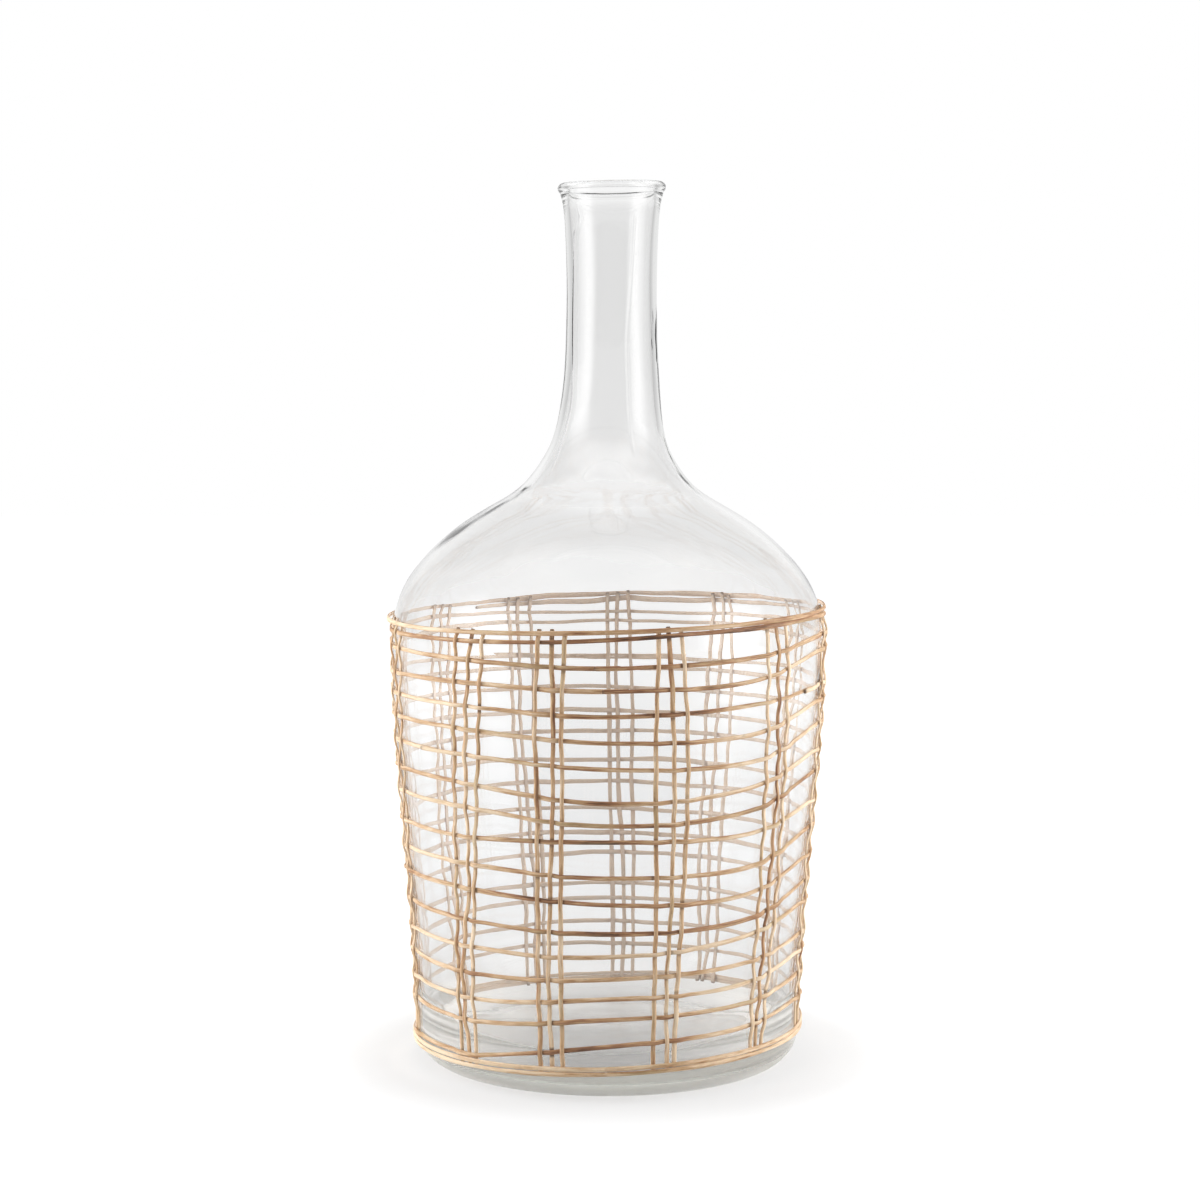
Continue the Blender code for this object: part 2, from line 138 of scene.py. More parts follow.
# Creases down the neck and the shoulder: depth, width, and (height, azimuth) marks
# from the bottom up. Each fades out below by CREASE_FADE and above by CREASE_END_FADE
CREASES = (
    (0.00028, 0.0090, ((0.292, -73), (0.303, -69.5), (0.322, -65), (0.334, -60))),
    (0.00026, 0.0034, ((0.320, 70), (0.336, 70), (0.347, 71), (0.362, 72))),
    (0.00024, 0.00060, ((0.335, -49), (0.355, -54), (0.375, -51), (0.390, -54), (0.420, -58),
                        (0.450, -57), (0.470, -53), (0.478, -43), (0.490, -47))),
    (0.00013, 0.0012, ((0.395, 66), (0.405, 72), (0.415, 70), (0.428, 76))),
    (-0.00012, 0.0010, ((0.400, 80), (0.412, 76), (0.424, 82), (0.434, 78))),
    (-0.00028, 0.0009, ((0.345, 24), (0.380, 20), (0.410, 19), (0.440, 24), (0.470, 28),
                        (0.486, 29))),
)
CREASE_FADE = 0.012
CREASE_END_FADE = 0.008

# Columns of the glass beside a crease: their step and how far they reach, in degrees
CREASE_STEP = 0.55
CREASE_MARGIN = 6

# The neck leans to the right between two heights, and the lip's right side and back
# stand higher by an angle
NECK_LEAN = 0.0024
LEAN_START = 0.325
LEAN_END = 0.400
LIP_TILT = 1.1
LIP_BACK_TILT = 1.6

# What the glass takes from light on its way through, by colour and for each metre
GLASS_TINT = (0.800, 0.815, 0.700, 1)
GLASS_DENSITY = 3.0
GLASS_IOR = 1.50

# The underside is worn matt, from this roughness at the first height to clear at the second
UNDERSIDE_ROUGHNESS = 0.35
MATT_HEIGHT = 0.0040
CLEAR_HEIGHT = 0.0260

# Split cane of the jacket
CANE_WIDTH = 0.0025
CANE_THICKNESS = 0.0011
SEAT = 0.00022
OVER_LEVEL = 0.00145
LAP_LEVEL = 0.00135
CREST_REACH = 0.0095
CANE_STEP = 0.0016

# Borders
TOP_BORDER_RISE = 0.009
TOP_BORDER_TILT = 0.0032
TOP_BORDER_DIP = 0.0010
BOTTOM_BORDER_HEIGHT = 0.016
BOTTOM_BORDER_TILT = 0.0035
BORDER_SPACING = 0.0028
TOP_BORDER_LIFT_SHARE = 0.55

# Stakes
STAKE_SIDES = ("left", "middle", "right")
CLOSE_SPACING = 0.0043
STAKE_LOOSENESS = 0.0062
STAKE_LEAN = 0.020

# How far the stakes reach beyond the borders. Their upper ends may be longer by
# STAKE_END_LENGTH, less a share that is cut off and changes from stake to stake
STAKE_END_DROP = 0.00125
STAKE_END_LENGTH = 0.0012
CUT_SHARE = 0.75
CUT_SPACING = 0.37

# Weaver
LAP_LENGTH = 0.014
WEAVER_START = (0, -80)
WEAVER_END = (16, 222)
CROSSING_ROUNDS = 4

# How near the weaver may come to the top border, and from where on it goes over the
# stakes as the borders do, as shares of BORDER_SPACING
NEAREST_SHARE = 0.86
NEAR_BORDER_SHARE = 1.25

# Each group has the azimuth of its middle stake at the top, and a pattern
STAKE_GROUPS = (
    (-13.7, "steady"), (15.2, "gathered"), (47.8, "bowed"), (80.0, "steady"),
    (112.5, "bowed"), (144.2, "gathered"), (177.3, "steady"), (206.6, "steady"),
    (235.4, "bowed"), (262.0, "gathered"), (289.0, "leaning"), (324.2, "leaning"),
)

# For each pattern, at six even steps from the top border to the bottom one:
# drift of the middle stake to the right as a share of STAKE_LEAN, then how far
# the left and the right stake stand off it as shares of STAKE_LOOSENESS
STAKE_PATTERN_SHARES = {
    "steady": ((0.00, 0.50, 0.40), (0.01, 0.90, 0.10), (-0.05, 0.75, 0.20),
               (-0.18, 0.50, 0.30), (-0.28, 0.32, 0.52), (-0.21, 0.52, 0.42)),
    "gathered": ((0.00, 0.22, 0.42), (0.14, 0.78, 0.60), (0.22, 0.95, 0.60),
                 (0.24, 0.84, 0.38), (0.15, 0.55, 0.36), (0.18, 0.68, 0.00)),
    "bowed": ((0.00, 0.56, 0.68), (0.12, 0.70, 0.62), (0.29, 1.00, 0.28),
              (0.23, 0.60, 0.70), (0.11, 0.42, 0.60), (-0.05, 0.00, 0.12)),
    "leaning": ((0.00, 1.00, 0.56), (-0.27, 0.62, 0.78), (-0.41, 0.76, 0.50),
                (-0.51, 0.98, 0.00), (-0.98, 0.00, 0.62), (-0.80, 0.42, 0.20)),
}

# Heights of the weaver on each turn, bottom turn first, 45 degrees to the left,
# in the middle, 40 degrees to the right and at the back, as shares of the way
# from the bottom border to the top one
TURN_HEIGHT_SHARES = (
    (0.009, 0.061, 0.076, 0.098), (0.093, 0.122, 0.132, 0.155), (0.145, 0.169, 0.177, 0.215),
    (0.205, 0.216, 0.227, 0.254), (0.266, 0.266, 0.288, 0.333), (0.329, 0.320, 0.328, 0.384),
    (0.403, 0.386, 0.387, 0.446), (0.460, 0.448, 0.451, 0.515), (0.523, 0.530, 0.528, 0.573),
    (0.592, 0.566, 0.582, 0.646), (0.647, 0.617, 0.635, 0.697), (0.713, 0.694, 0.694, 0.759),
    (0.771, 0.753, 0.757, 0.813), (0.823, 0.811, 0.824, 0.844), (0.876, 0.868, 0.878, 0.932),
    (0.928, 0.919, 0.930, 0.962), (0.968, 0.980, 1.000, 1.000),
)
LEFT_ANGLE = 45
RIGHT_ANGLE = 40
BACK_ANGLE = 180

# Most of the climb from the right to the back is done soon after the right
CLIMB_ANGLE = 70
CLIMB_SHARE = 0.8

# Where one length of cane ends under the start of the next: turn, azimuth
LAPS = ((2, 97), (5, 161), (8, 249), (11, -53), (13, 64), (14, 2), (15, 0))

# Outline of the cane's section as shares of half its width and of its thickness
SECTION_SHARES = (
    (-0.84, 0.00), (-1.00, 0.22), (-0.94, 0.56), (-0.74, 0.84), (-0.40, 0.98), (0.00, 1.00),
    (0.40, 0.98), (0.74, 0.84), (0.94, 0.56), (1.00, 0.22), (0.84, 0.00), (0.00, 0.02),
)

# Cane: how much it wavers and its width changes, the lengths of these waves, how wide
# its ends are, and the gain that brings the noise to between about -1 and 1
WAVER = 0.00030
WAVER_LENGTH = 0.046
WIDTH_CHANGE_SHARE = 0.16
WIDTH_LENGTH = 0.045
END_WIDTH_SHARE = 0.86
NOISE_GAIN = 1.6

# Borders: how much they waver beside the rest, in how many waves, how much the tone
# changes, in how many waves, and the painted light that makes them paler towards the left
BORDER_WAVER_SHARE = 0.5
BORDER_WAVES = 4
BORDER_TONE_CHANGE = 0.14
BORDER_TONE_WAVES = 3
LEFT_BORDER_LIGHT = -0.32

# Painted contact shadow, with some dirt, beside a crossing where another cane lies over: how far
# it reaches, how soon it changes along the cane, how far beside the crossing it lies, and its usual and
# least strength
CONTACT_SHADE_REACH = 0.0007
CONTACT_SHADE_LENGTH = 0.009
CONTACT_SHADE_OFFSET_SHARE = 0.62
CONTACT_SHADE_STRENGTH = 0.45
FAINTEST_CONTACT_SHADE = 0.12
END_STAIN_REACH = 0.0016

# Change of tone along a stake and along the weaver, and the lengths of its waves
STAKE_TONE_CHANGE = 0.10
STAKE_TONE_LENGTH = 0.05
WEAVER_TONE_CHANGE = 0.12
WEAVER_TONE_LENGTH = 0.09

# Seeds and their steps, so that no two canes are alike
WIDTH_SEED = 3
THICKNESS_SEED = 7
CONTACT_SHADE_SEED = 13
CUT_SEED = 4.4
STAKE_SEED_STEP = 1.37
STAKE_WAVER_STEP = 3.1
STAKE_TONE_STEP = 1.7
WEAVER_SEED = 70
WEAVER_SEED_STEP = 2.3
WEAVER_WAVER_SEED = 11.3
BORDER_SEED = 91
BORDER_SEED_STEP = 3
BORDER_WAVER_STEP = 900
BORDER_TONE_SEED = 5
BORDER_TONE_STEP = 700

# Tone of the weaver on each turn, bottom turn first, on the left, in the middle and
# on the right of the front: from 0, cream, to 1, dark brown
# The middle is mostly darker than the sides: painted shade of the dim front, laid over the cane's own
# changes of tone
TURN_TONES_AND_SHADE = (
    (0.48, 0.84, 0.40), (0.40, 0.68, 0.45), (0.28, 0.56, 0.24), (0.22, 0.34, 0.18),
    (0.05, 0.10, 0.14), (0.28, 0.74, 0.38), (0.46, 0.78, 0.44), (0.14, 0.58, 0.38),
    (0.33, 0.70, 0.16), (0.38, 0.88, 0.72), (0.46, 0.68, 0.26), (0.16, 0.44, 0.35),
    (0.18, 0.44, 0.38), (0.08, 0.46, 0.38), (0.32, 0.70, 0.20), (0.12, 0.70, 0.45),
    (0.55, 0.80, 0.60),
)

# Tones of the left, the middle and the right stake of a group, and the painted light
# that makes the stakes paler from the front to the sides
STAKE_TONES = (0.40, 0.56, 0.24)
SIDE_STAKE_LIGHT = -0.14

FULL_TURN = 360
TOP_BORDER_HEIGHT = SHOULDER_HEIGHT + TOP_BORDER_RISE
JACKET_HEIGHT = TOP_BORDER_HEIGHT - BOTTOM_BORDER_HEIGHT
STAKES_IN_GROUP = len(STAKE_SIDES)
STAKE_COUNT = STAKES_IN_GROUP * len(STAKE_GROUPS)
LAP_ANGLE = degrees(LAP_LENGTH / BODY_RADIUS)


# Shape of the bottle and routes of the cane

def smooth_value(knots, x):
    """Value at x of a smooth curve through (x, value) knots in rising x."""
    last = len(knots) - 1
    k = max([i for i in range(last) if knots[i][0] <= x], default=0)

    def slope(i):
        before, after = knots[max(i - 1, 0)], knots[min(i + 1, last)]
        return (after[1] - before[1]) / (after[0] - before[0])

    (x0, y0), (x1, y1) = knots[k], knots[k + 1]
    span = x1 - x0
    u = min(max((x - x0) / span, 0), 1)
    rise = y0 + (y1 - y0) * u * u * (3 - 2 * u)
    return rise + span * u * (1 - u) * (slope(k) * (1 - u) - slope(k + 1) * u)


def body_radius(z):
    """Outer radius of the glass from the foot to the shoulder at height z."""
    if z < HEEL_HEIGHT:
        drop = (HEEL_HEIGHT - max(z, 0)) / HEEL_HEIGHT
        return FOOT_RADIUS + (HEEL_RADIUS - FOOT_RADIUS) * (1 - drop * drop) ** 0.5
    if z > SHOULDER_HEIGHT:
        rise = (z - SHOULDER_HEIGHT) / SHOULDER_RISE
        return BODY_RADIUS * (1 - rise ** SHOULDER_POWER) ** (1 / SHOULDER_POWER)
    u = (z - HEEL_HEIGHT) / (SHOULDER_HEIGHT - HEEL_HEIGHT)
    return HEEL_RADIUS + (BODY_RADIUS - HEEL_RADIUS) * u * u * (3 - 2 * u)


def surface_point(azimuth, z, level):
    """Point at an azimuth and height, a level off the glass, and the way out of the glass."""
    a = radians(azimuth)
    step = CANE_WIDTH / 2
    lean = (body_radius(z + step) - body_radius(z - step)) / (2 * step)
    out = Vector((sin(a), -cos(a), -lean)).normalized()
    radius = body_radius(z)
    return Vector((radius * sin(a), -radius * cos(a), z)) + out * level, out


def top_border_height(azimuth):
    a = radians(azimuth)
    return TOP_BORDER_HEIGHT + TOP_BORDER_TILT * sin(a) - TOP_BORDER_DIP * cos(a)


def bottom_border_height(azimuth):
    return BOTTOM_BORDER_HEIGHT + BOTTOM_BORDER_TILT * sin(radians(azimuth))


def weaver_knots():
    """Height of the weaver along its winding angle, which grows by a turn each row."""
    knots = []
    for turn, (left, middle, right, back) in enumerate(TURN_HEIGHT_SHARES):
        start = turn * FULL_TURN
        knots += [(start - LEFT_ANGLE, left), (start, middle), (start + RIGHT_ANGLE, right)]
        climb = right + (back - right) * CLIMB_SHARE
        knots += [(start + CLIMB_ANGLE, climb), (start + BACK_ANGLE, back)]
    return [(angle, BOTTOM_BORDER_HEIGHT + share * JACKET_HEIGHT) for angle, share in knots]


def tone_and_shade_knots():
    """Tone of the weaver along its winding angle, with painted shade in the middle of the front."""
    knots = []
    for turn, (left, middle, right) in enumerate(TURN_TONES_AND_SHADE):
        start = turn * FULL_TURN
        knots += [(start - LEFT_ANGLE, left), (start, middle), (start + RIGHT_ANGLE, right)]
    return knots


WEAVER_KNOTS = weaver_knots()
TONE_AND_SHADE_KNOTS = tone_and_shade_knots()


def weaver_height(winding):
    """Height of the weaver, which lies against the borders where it would run into them."""
    lowest = bottom_border_height(winding) + 2 * BORDER_SPACING
    highest = top_border_height(winding) - BORDER_SPACING * NEAREST_SHARE
    return min(max(smooth_value(WEAVER_KNOTS, winding), lowest), highest)


def beside_border(winding):
    """Whether the weaver is so near to a border that it shares the border's way over the stakes."""
    z = weaver_height(winding)
    near = BORDER_SPACING * NEAR_BORDER_SHARE
    lowest = bottom_border_height(winding) + BORDER_SPACING + near
    return z < lowest or z > top_border_height(winding) - near


def stake_azimuth(group, member, z):
    """Azimuth of a stake at height z: member -1 is left, 0 middle, 1 right."""
    azimuth, pattern = STAKE_GROUPS[group]
    rows = STAKE_PATTERN_SHARES[pattern]
    step = JACKET_HEIGHT / (len(rows) - 1)
    depths = [(step * i, row) for i, row in enumerate(rows)]
    depth = min(max(TOP_BORDER_HEIGHT - z, 0), JACKET_HEIGHT)
    offset = STAKE_LEAN * smooth_value([(d, row[0]) for d, row in depths], depth)
    if member:
        side = 1 if member < 0 else 2
        share = max(smooth_value([(d, row[side]) for d, row in depths], depth), 0)
        offset += member * (CLOSE_SPACING + STAKE_LOOSENESS * share)
    return azimuth + degrees(offset / BODY_RADIUS)


def group_and_member(stake):
    group, side = divmod(stake, STAKES_IN_GROUP)
    return group, side - 1


def winding_of(mark):
    turn, azimuth = mark
    return turn * FULL_TURN + azimuth


def find_crossings():
    """Every crossing of weaver and stake as (winding, height, stake, over)."""
    first, last = winding_of(WEAVER_START), winding_of(WEAVER_END)
    crossings = []
    for turn in range(WEAVER_START[0] - 1, WEAVER_END[0] + 1):
        for stake in range(STAKE_COUNT):
            group, member = group_and_member(stake)
            winding = turn * FULL_TURN + STAKE_GROUPS[group][0]
            for _ in range(CROSSING_ROUNDS):
                z = weaver_height(winding)
                winding = turn * FULL_TURN + stake_azimuth(group, member, z)
            if first < winding < last:
                over = (stake + turn) % 2 == 1 or beside_border(winding)
                crossings.append((winding, weaver_height(winding), stake, over))
    return crossings


def with_crests(knots):
    """Adds knots so that a raised stretch comes down to the glass within its reach."""
    full = [knots[0]]
    for here in knots[1:]:
        before = full[-1]
        room = here[0] - before[0]
        if before[1] > 0 and room > CREST_REACH * (2 if here[1] > 0 else 1):
            full.append((before[0] + CREST_REACH, 0))
        if here[1] > 0 and room > CREST_REACH * (2 if before[1] > 0 else 1):
            full.append((here[0] - CREST_REACH, 0))
        full.append(here)
    return full


def eased_levels(knots, distances):
    """Levels at distances along a cane, easing from each knot to the next."""
    marks = np.array([k[0] for k in knots])
    levels = np.array([k[1] for k in knots])
    index = np.clip(np.searchsorted(marks, distances) - 1, 0, len(marks) - 2)
    share = np.clip((distances - marks[index]) / (marks[index + 1] - marks[index]), 0, 1)
    ease = (1 - np.cos(pi * share)) / 2
    return levels[index] * (1 - ease) + levels[index + 1] * ease


def wave(distance, length, seed, turn=0):
    """Smooth random number between about -1 and 1 that changes over a length."""
    return noise.noise(Vector((distance / length, seed, turn))) * NOISE_GAIN


def round_noise(azimuth, waves, seed):
    """Smooth random number round the bottle, which closes on itself."""
    a = radians(azimuth)
    return noise.noise(Vector((cos(a) * waves, sin(a) * waves, seed)))


# Meshes of the cane

def set_attribute(mesh, name, values):
    attribute = mesh.attributes.new(name, 'FLOAT_VECTOR', 'POINT')
    attribute.data.foreach_set("vector", np.asarray(values, np.float32).ravel())


def varied(size, change, along, seed, turn):
    """A size at places along a cane, each with its share of random change."""
    return np.array([size * (1 + change * wave(s, WIDTH_LENGTH, seed, turn)) for s in along])


def cane_mesh(name, route, contacts, seed, tone, closed=False):
    """Mesh of one length of cane along a route of (place, way out, distance, tone change)."""
    count = len(route)
    places = np.array([tuple(r[0]) for r in route])
    outs = np.array([tuple(r[1]) for r in route])
    along = np.array([r[2] for r in route])
    if closed:
        tangents = np.roll(places, -1, 0) - np.roll(places, 1, 0)
    else:
        tangents = np.gradient(places, axis=0)
    tangents /= np.linalg.norm(tangents, axis=1)[:, None]
    outs -= tangents * (outs * tangents).sum(1)[:, None]
    outs /= np.linalg.norm(outs, axis=1)[:, None]
    across = np.cross(tangents, outs)
    widths = varied(CANE_WIDTH / 2, WIDTH_CHANGE_SHARE, along, seed, WIDTH_SEED)
    thicks = varied(CANE_THICKNESS, WIDTH_CHANGE_SHARE / 2, along, seed, THICKNESS_SEED)
    ends = np.zeros(count)
    if not closed:
        widths[[0, -1]] *= END_WIDTH_SHARE
        from_start = along - along[0]
        from_end = along[-1] - along[0] - from_start
        ends = np.exp(-np.minimum(from_start, from_end) / END_STAIN_REACH)
    section = np.array(SECTION_SHARES)
    size = len(section)
    vertices = (places[:, None, :]
                + across[:, None, :] * (widths[:, None] * section[:, 0])[:, :, None]
                + outs[:, None, :] * (thicks[:, None] * section[:, 1])[:, :, None])
    vertices = vertices.reshape(-1, 3)
    faces = []
    for i in range(count if closed else count - 1):
        a, b = i * size, (i + 1) % count * size
        faces += [(a + k, b + k, b + (k + 1) % size, a + (k + 1) % size) for k in range(size)]
    # Painted contact shadow, with some dirt, beside each place where another cane lies over this one
    stains_and_shade = np.zeros(count)
    for mark in contacts:
        strength = max(CONTACT_SHADE_STRENGTH + wave(mark, CONTACT_SHADE_LENGTH, seed, CONTACT_SHADE_SEED), FAINTEST_CONTACT_SHADE)
        beside = np.abs(along - mark) - CANE_WIDTH * CONTACT_SHADE_OFFSET_SHARE
        stains_and_shade = np.maximum(stains_and_shade, strength * np.exp(-(beside / CONTACT_SHADE_REACH) ** 2))
    tones = np.array([tone + r[3] for r in route])
    cane = np.stack([np.repeat(along, size), np.tile(section[:, 0], count),
                     np.full(count * size, seed)], 1)
    tone_ends_shade = np.stack([np.repeat(values, size) for values in (tones, ends, stains_and_shade)], 1)
    skin = np.tile(section[:, 1], count)
    if not closed:
        for first in (0, (count - 1) * size):
            ring = vertices[first:first + size]
            middle = ring.mean(0)
            vertices = np.vstack([vertices, middle])
            cane = np.vstack([cane, cane[first] * (1, 0, 1)])
            tone_ends_shade = np.vstack([tone_ends_shade, tone_ends_shade[first]])
            skin = np.append(skin, 0.5)
            tip = len(vertices) - 1
            for k in range(size):
                pair = (first + k, first + (k + 1) % size)
                faces.append((*pair, tip) if first == 0 else (*pair[::-1], tip))
    mesh = bpy.data.meshes.new(name)
    mesh.from_pydata(vertices.tolist(), [], faces)
    set_attribute(mesh, "cane", cane)
    set_attribute(mesh, "tone_ends_shade", tone_ends_shade)
    set_attribute(mesh, "skin", np.stack([skin, skin, skin], 1))
    mesh.polygons.foreach_set("use_smooth", [True] * len(mesh.polygons))
    mesh.update()
    return mesh


def add_piece(name, mesh, material, node):
    piece = bpy.data.objects.new(name, mesh)
    mesh.materials.append(material)
    bpy.context.scene.collection.objects.link(piece)
    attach(piece, "root")
    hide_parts(node)


def stake_route(stake, crossings):
    """Route of a stake from its lower end to its upper one, and the heights where it is crossed."""
    group, member = group_and_member(stake)
    own = [(z, over) for _, z, number, over in crossings if number == stake]
    low = bottom_border_height(stake_azimuth(group, member, BOTTOM_BORDER_HEIGHT))
    high = top_border_height(stake_azimuth(group, member, TOP_BORDER_HEIGHT))
    knots = [(low - STAKE_END_DROP, 0), (low + BORDER_SPACING + STAKE_END_DROP, 0)]
    knots += [(z, 0 if over else OVER_LEVEL) for z, over in own]
    knots += [(high, 0), (high + STAKE_END_DROP + STAKE_END_LENGTH, 0)]
    start, end = knots[0][0], knots[-1][0]
    end -= STAKE_END_LENGTH * min(max(CUT_SHARE + wave(stake, CUT_SPACING, CUT_SEED), 0), 1)
    heights = np.linspace(start, end, int((end - start) / CANE_STEP))
    levels = eased_levels(with_crests(knots), heights)
    route = []
    for z, level in zip(heights, levels):
        sway = WAVER * wave(z, WAVER_LENGTH, stake * STAKE_WAVER_STEP)
        azimuth = stake_azimuth(group, member, z) + degrees(sway / BODY_RADIUS)
        place, out = surface_point(azimuth, z, SEAT + level)
        tone = STAKE_TONE_CHANGE * wave(z, STAKE_TONE_LENGTH, stake * STAKE_TONE_STEP)
        route.append((place, out, z - start, tone))
    return route, [z - start for z, over in own if over]


def weaver_route(start, end, first, last, crossings):
    """Route of one length of the weaver between two winding angles, and where it is crossed."""
    tip = degrees(CANE_WIDTH / BODY_RADIUS)
    arc = radians(1) * BODY_RADIUS
    own = [(w, over) for w, _, _, over in crossings if start < w < end]
    lap_end = start if first else start + LAP_ANGLE + tip
    knots = [(start, 0)] if first else [(start, LAP_LEVEL), (lap_end, LAP_LEVEL)]
    knots += [(w, OVER_LEVEL if over else 0) for w, over in own if w > lap_end]
    knots += [(end, 0)] if last else [(end - LAP_ANGLE - tip, 0), (end, 0)]
    lengths = with_crests([((w - start) * arc, level) for w, level in sorted(knots)])
    total = (end - start) * arc
    distances = np.linspace(0, total, int(total / CANE_STEP))
    levels = eased_levels(lengths, distances)
    route = []
    for s, level in zip(distances, levels):
        w = start + s / arc
        z = weaver_height(w) + WAVER * wave(w, WAVER_LENGTH / arc, WEAVER_WAVER_SEED)
        place, out = surface_point(w, z, SEAT + level)
        # Painted shade: the weaver is darker in the middle of the front
        tone = smooth_value(TONE_AND_SHADE_KNOTS, w) + WEAVER_TONE_CHANGE * wave(s, WEAVER_TONE_LENGTH, start)
        route.append((place, out, s, tone))
    return route, [(w - start) * arc for w, over in own if not over]


def border_route(height, rise, level):
    """Closed route of a border, a rise above the given height and a level above the seat."""
    count = int(FULL_TURN / degrees(CANE_STEP / BODY_RADIUS))
    route = []
    for i in range(count):
        azimuth = FULL_TURN * i / count
        a = radians(azimuth)
        sway = WAVER * BORDER_WAVER_SHARE * round_noise(azimuth, BORDER_WAVES, rise * BORDER_WAVER_STEP)
        place, out = surface_point(azimuth, height(azimuth) + rise + sway, SEAT + level)
        seed = rise * BORDER_TONE_STEP + BORDER_TONE_SEED
        tone = BORDER_TONE_CHANGE * round_noise(azimuth, BORDER_TONE_WAVES, seed)
        # Painted light: the borders are paler towards the left
        route.append((place, out, a * BODY_RADIUS, tone + LEFT_BORDER_LIGHT * max(-sin(a), 0)))
    return route


# Materials

def node_tree(name):
    material = bpy.data.materials.new(name)
    material.use_nodes = True
    tree = material.node_tree
    tree.nodes.clear()
    return material, tree


def add_node(tree, kind, inputs=None, **settings):
    node = tree.nodes.new("ShaderNode" + kind)
    for key, value in settings.items():
        setattr(node, key, value)
    for key, value in (inputs or {}).items():
        if isinstance(value, bpy.types.NodeSocket):
            tree.links.new(value, node.inputs[key])
        else:
            node.inputs[key].default_value = value
    return node


def maths(tree, operation, *values):
    return add_node(tree, "Math", dict(enumerate(values)), operation=operation).outputs[0]


def ramp(tree, value, start, end, low, high, **settings):
    """Value that runs from low at the start to high at the end, and stays there beyond."""
    return add_node(tree, "MapRange", {"Value": value, "From Min": start, "From Max": end,
                                       "To Min": low, "To Max": high}, **settings).outputs[0]


def coordinates(tree, vector):
    return add_node(tree, "SeparateXYZ", {0: vector}).outputs


def colour_ramp(tree, factor, stops):
    node = add_node(tree, "ValToRGB", {"Fac": factor})
    elements = node.color_ramp.elements
    while len(elements) < len(stops):
        elements.new(0.5)
    for element, (position, colour) in zip(elements, stops):
        element.position = position
        element.color = (*colour, 1)
    return node.outputs["Color"]


def mix_colour(tree, factor, a, b):
    """Mix of two colours, whose sockets are 6, 7 and 2 on the node."""
    a, b = (c if isinstance(c, bpy.types.NodeSocket) else (*c, 1) for c in (a, b))
    return add_node(tree, "Mix", {0: factor, 6: a, 7: b}, data_type='RGBA').outputs[2]


# Colours of the cane, palest first
CREAM = (0.85, 0.67, 0.475)
STRAW = (0.69, 0.475, 0.290)
HONEY = (0.54, 0.327, 0.172)
RUSSET = (0.37, 0.183, 0.092)
UMBER = (0.11, 0.058, 0.034)
PITH = (0.74, 0.60, 0.48)
OLIVE = (0.44, 0.37, 0.20)
TONE_COLOURS = ((0.04, CREAM), (0.30, STRAW), (0.50, HONEY), (0.72, RUSSET), (1.0, UMBER))

# Patterns of the cane: how fast they change along it and across it, detail and shift
FIBRES = (90, 1.7, 3, 0)
PATCHES = (34, 0.5, 4, 3)
LONG_PATCHES = (11, 0.2, 2, 9)
OLIVE_PATCHES = (16, 0.3, 1, 41)
SPECKS = (1100, 2.4, 1, 17)
BLOTCHES = (210, 0.8, 2, 27)
SEED_SCALE = 7.0
PATTERN_ROUGHNESS = 0.6

# How much the patterns change the tone
PATCH_TONE = 1.25
LONG_PATCH_TONE = 1.15
FIBRE_TONE = 1.10

# Roughness of the cane between its fibres and on them, and the fibres' relief
CANE_ROUGHNESS = (0.42, 0.68)
CANE_IOR = 1.45
RELIEF_STRENGTH = 0.55
RELIEF_HEIGHT = 0.00018


